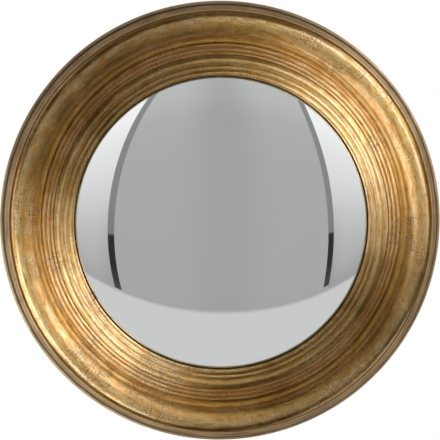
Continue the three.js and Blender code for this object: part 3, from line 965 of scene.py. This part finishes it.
# round pad with a shallow groove in the face that rests on the wall
def padMesh():
    c = padSizes
    radius, top, shoulder = c["radius"], c["thickness"], c["thickness"] - c["taper"]
    outline = [(0, play), (radius - c["easing"], play), (radius, play + c["easing"])]
    outline += arcPoints((radius - c["taper"], shoulder), c["taper"], 0, math.pi / 2, 6)
    outer, inner, bottom = radius - c["grooveOutside"], radius - c["grooveInside"], top - c["grooveDepth"]
    outline += [(outer, top), (outer - c["grooveDepth"], bottom)]
    outline += [(inner + c["grooveDepth"], bottom), (inner, top), (0, top)]
    return meshFromBmesh("pad", spun([(r * mm, h * mm) for r, h in outline], c["flats"]))


padPlaces = [(angle, padSizes["place"], 0) for angle in padSizes["angles"]]
padRubber = rubberBlack("padRubber", (0.022, 0.022, 0.023), 700.0)
pads = repeatedPiece("wall_pads", padMesh(), padPlaces, padRubber)
hand(pads, "frame", "pad_rubber", *[f"wall_pad_{i}" for i in range(1, 5)])
print("hardware placed")


# stage material with one plain shader
def plainSurface(name, paint):
    material = bpy.data.materials.new(name)
    material.use_nodes = True
    tree = Tree(material.node_tree)
    tree.nodes.clear()
    tree.make("ShaderNodeOutputMaterial", None, {"Surface": paint(tree)})
    return material


# stage piece that only some kinds of ray see
def stagePiece(mesh, material, seenBy):
    mesh.materials.append(material)
    piece = addObject(mesh.name, mesh)
    for kind in ("camera", "diffuse", "glossy", "transmission", "shadow"):
        setattr(piece, "visible_" + kind, kind in seenBy)
    return piece


def addCard(name, corners, material, seenBy):
    mesh = bpy.data.meshes.new(name)
    mesh.from_pydata(corners, [], [tuple(range(len(corners)))])
    return stagePiece(mesh, material, seenBy)


floorSizes = {"height": -1.6, "half": 4.0, "front": -1.3, "back": 2.0}


def levelCard(name, height, front, material, seenBy):
    half, back = floorSizes["half"], floorSizes["back"]
    flat = [(-half, front(-half)), (half, front(half)), (half, back), (-half, back)]
    return addCard(name, [(x, y, height) for x, y in flat], material, seenBy)


paleFloor = plainSurface(
    "paleFloor", lambda tree: tree.make("ShaderNodeBsdfDiffuse", None, {"Color": (0.8, 0.8, 0.8)})
)
levelCard(
    "floor", floorSizes["height"], lambda x: floorSizes["front"], paleFloor,
    ("camera", "diffuse", "transmission", "shadow"),
)


# The room that the glass shows is a set of cards, seen by the glass alone. Their tones are screen greys.
def screenGrey(value):
    level = ((value / 255 + 0.055) / 1.055) ** 2.4
    return (level, level, level)


room = {
    "wall": -4.0, "top": 9.0, "bottom": -4.4, "low": -4.5, "high": 7.0, "side": 50.0,
    # outer edges of the two dark posts: place at the height of the hook, lean and bow
    "left": (-4.22, 0.10, 0.0110), "right": (4.78, -0.09, 0.0152),
    "postWidth": 0.42, "postTop": 5.9, "postEnd": -3.68,
    "floorFront": -1.50, "floorSlant": 0.0436, "floorBlur": 0.12, "floorLift": 0.005,
    "depths": {"side": -0.04, "back": 0.0, "post": 0.02}, "overlap": 0.1, "middle": 0.3, "silverLoss": 1.06,
}
wallTones = {
    "side": [
        (0.0, 152), (0.112, 167), (0.215, 180), (0.30, 189),
        (0.38, 201), (0.505, 219), (0.625, 229), (0.75, 241),
    ],
    "back": [(0.0, 162), (0.13, 167), (0.5, 169), (0.68, 173), (0.82, 184), (1.0, 188)],
    "post": [(0.0, 84), (0.1, 72), (0.19, 50), (0.296, 50), (0.302, 130), (1.0, 138)],
}


def wallPaint(kind):
    def paint(tree):
        x, _, z = tree.places()
        share = (z - room["low"]) / (room["high"] - room["low"])
        stops = [(place, screenGrey(value)) for place, value in wallTones[kind]]
        colour = tree.make("ShaderNodeValToRGB", {"stops": stops}, {0: share})
        middle = (x - room["middle"]).sized()
        if kind == "back":
            # soft upright shade in the middle, stronger near the top
            dark = middle.rising(1.9, 0.0) * (0.08 + z.rising(0.0, 5.0) * 0.10)
        else:
            dark = middle.rising(6.0, 4.6) * z.rising(1.0, -2.2) * 0.14
        lit = 1 - dark
        shade = tree.make("ShaderNodeCombineColor", None, {0: lit, 1: lit, 2: lit})
        shaded = tree.mixed(1.0, colour, shade, "MULTIPLY")
        return tree.make("ShaderNodeEmission", None, {"Color": shaded, "Strength": room["silverLoss"]})
    return plainSurface(kind + "Tones", paint)


def floorPaint(tree):
    x, y, _ = tree.places()
    inward = y - room["floorFront"] - x * room["floorSlant"]
    colour = tree.mixed(inward.rising(0.0, room["floorBlur"]), screenGrey(163), screenGrey(201))
    return tree.make("ShaderNodeEmission", None, {"Color": colour, "Strength": room["silverLoss"]})


def bowed(edge, top, bottom):
    place, lean, bow = edge
    return [(place + lean * z + bow * z * z, z) for z in np.linspace(top, bottom, 24)]


wallPaints = {kind: wallPaint(kind) for kind in wallTones}


# part of the wall between two edges, each a list of (x, z) from the top down
def wallCard(name, left, right, kind):
    y = room["wall"] + room["depths"][kind]
    return addCard(name, [(x, y, z) for x, z in left[::-1] + right], wallPaints[kind], ("glossy",))


def shifted(edge, step):
    return [(x + step, z) for x, z in edge]


def upright(x):
    return [(x, room["top"]), (x, room["bottom"])]


leftPost, rightPost = [bowed(room[side], room["postTop"], room["postEnd"]) for side in ("left", "right")]
leftEdge, rightEdge = [bowed(room[side], room["top"], room["bottom"]) for side in ("left", "right")]
roomCards = [
    wallCard("side_wall_left", upright(-room["side"]), shifted(leftEdge, room["overlap"]), "side"),
    wallCard("side_wall_right", shifted(rightEdge, -room["overlap"]), upright(room["side"]), "side"),
    wallCard("back_wall", leftEdge, rightEdge, "back"),
    wallCard("post_left", leftPost, shifted(leftPost, room["postWidth"]), "post"),
    wallCard("post_right", shifted(rightPost, -room["postWidth"]), rightPost, "post"),
    levelCard(
        "seen_floor", floorSizes["height"] + room["floorLift"],
        lambda x: room["floorFront"] + x * room["floorSlant"],
        plainSurface("floorTones", floorPaint), ("glossy",),
    ),
]

lampAim = Vector((0, -0.03, axisHeight))


def addLamp(name, azimuth, offAxis, distance, size, power):
    data = bpy.data.lights.new(name, "AREA")
    data.shape, data.size, data.energy = "DISK", size, power
    turn, tilt = math.radians(azimuth), math.radians(offAxis)
    away = Vector((math.sin(tilt) * math.cos(turn), -math.cos(tilt), math.sin(tilt) * math.sin(turn)))
    lamp = bpy.data.objects.new(name, data)
    bpy.context.scene.collection.objects.link(lamp)
    lamp.location = lampAim + away * distance
    lamp.rotation_euler = (-away).to_track_quat("-Z", "Y").to_euler()
    lamp.visible_camera = False
    return lamp


# azimuth round the mirror's axis from the right, angle off the axis, distance, size, power
lamps = {
    "key_right": (32, 47, 2.0, 1.4, 8.6),
    "key_left": (211, 47, 2.0, 1.0, 6.6),
    "high_right": (30, 29, 2.2, 1.1, 7.4),
    "high_left": (212, 29, 2.2, 1.1, 5.6),
    "front": (90, 3, 2.6, 1.2, 0.3),
    "side_right": (36, 86, 2.0, 1.2, 8.0),
    "side_left": (208, 86, 2.0, 0.9, 8.0),
    "left": (180, 86, 2.0, 0.9, 4.0),
    "right": (0, 65, 2.0, 0.9, 2.2),
    "low_left": (240, 65, 1.2, 0.55, 2.0),
    "behind_left": (145, 118, 2.0, 0.9, 1.2),
    "behind_low": (302, 102, 1.4, 1.7, 3.4),
}
lit = bpy.data.collections.new("litByLamps")
lit.objects.link(glass)
for name, setting in lamps.items():
    addLamp(name, *setting).light_linking.receiver_collection = lit
lit.collection_objects[0].light_linking.link_state = "EXCLUDE"

seenInGlass = bpy.data.collections.new("seenInGlass")
seenInGlass.objects.link(glass)
for card in roomCards:
    card.light_linking.receiver_collection = seenInGlass


# dim warm tent round the set, seen by reflections alone
def addTent(radius, level):
    shape = bmesh.new()
    bmesh.ops.create_icosphere(shape, subdivisions=3, radius=radius)
    bmesh.ops.reverse_faces(shape, faces=shape.faces)
    mesh = bpy.data.meshes.new("tent")
    shape.to_mesh(mesh)
    shape.free()
    values = {"Color": (level, level * 0.82, level * 0.55)}
    glow = plainSurface("tent", lambda tree: tree.make("ShaderNodeEmission", None, values))
    stagePiece(mesh, glow, ("glossy",))


addTent(80, 0.08)

# pale world: plain level for the light, white where it is seen
worldLevel = 0.55
world = bpy.data.worlds.new("studio")
bpy.context.scene.world = world
world.use_nodes = True
sky = Tree(world.node_tree)
sky.nodes.clear()
path = sky.make("ShaderNodeLightPath").socket.node
kinds = ("Camera", "Glossy", "Transmission")
seen, mirrored, clear = [Wire(sky, path.outputs[f"Is {kind} Ray"]) for kind in kinds]
strength = worldLevel + seen.larger(mirrored).larger(clear) * (1 - worldLevel)
sky.make(
    "ShaderNodeOutputWorld", None,
    {"Surface": sky.make("ShaderNodeBackground", None, {"Color": (1, 1, 1), "Strength": strength})},
)

viewing = {
    "azimuth": -2.4, "elevation": 4.0, "distance": 2.3, "width": 0.5939, "target": (-0.0024, -0.04, -0.2744),
}
turn, rise = math.radians(viewing["azimuth"]), math.radians(viewing["elevation"])
away = Vector((math.sin(turn) * math.cos(rise), -math.cos(turn) * math.cos(rise), math.sin(rise)))
lens = bpy.data.cameras.new("camera")
lens.sensor_width = 36
lens.lens = lens.sensor_width * viewing["distance"] / viewing["width"]
camera = bpy.data.objects.new("camera", lens)
bpy.context.scene.collection.objects.link(camera)
camera.location = Vector(viewing["target"]) + away * viewing["distance"]
camera.rotation_euler = (-away).to_track_quat("-Z", "Y").to_euler()
bpy.context.scene.camera = camera
bpy.context.scene.view_settings.view_transform = "Standard"
print("studio lit")
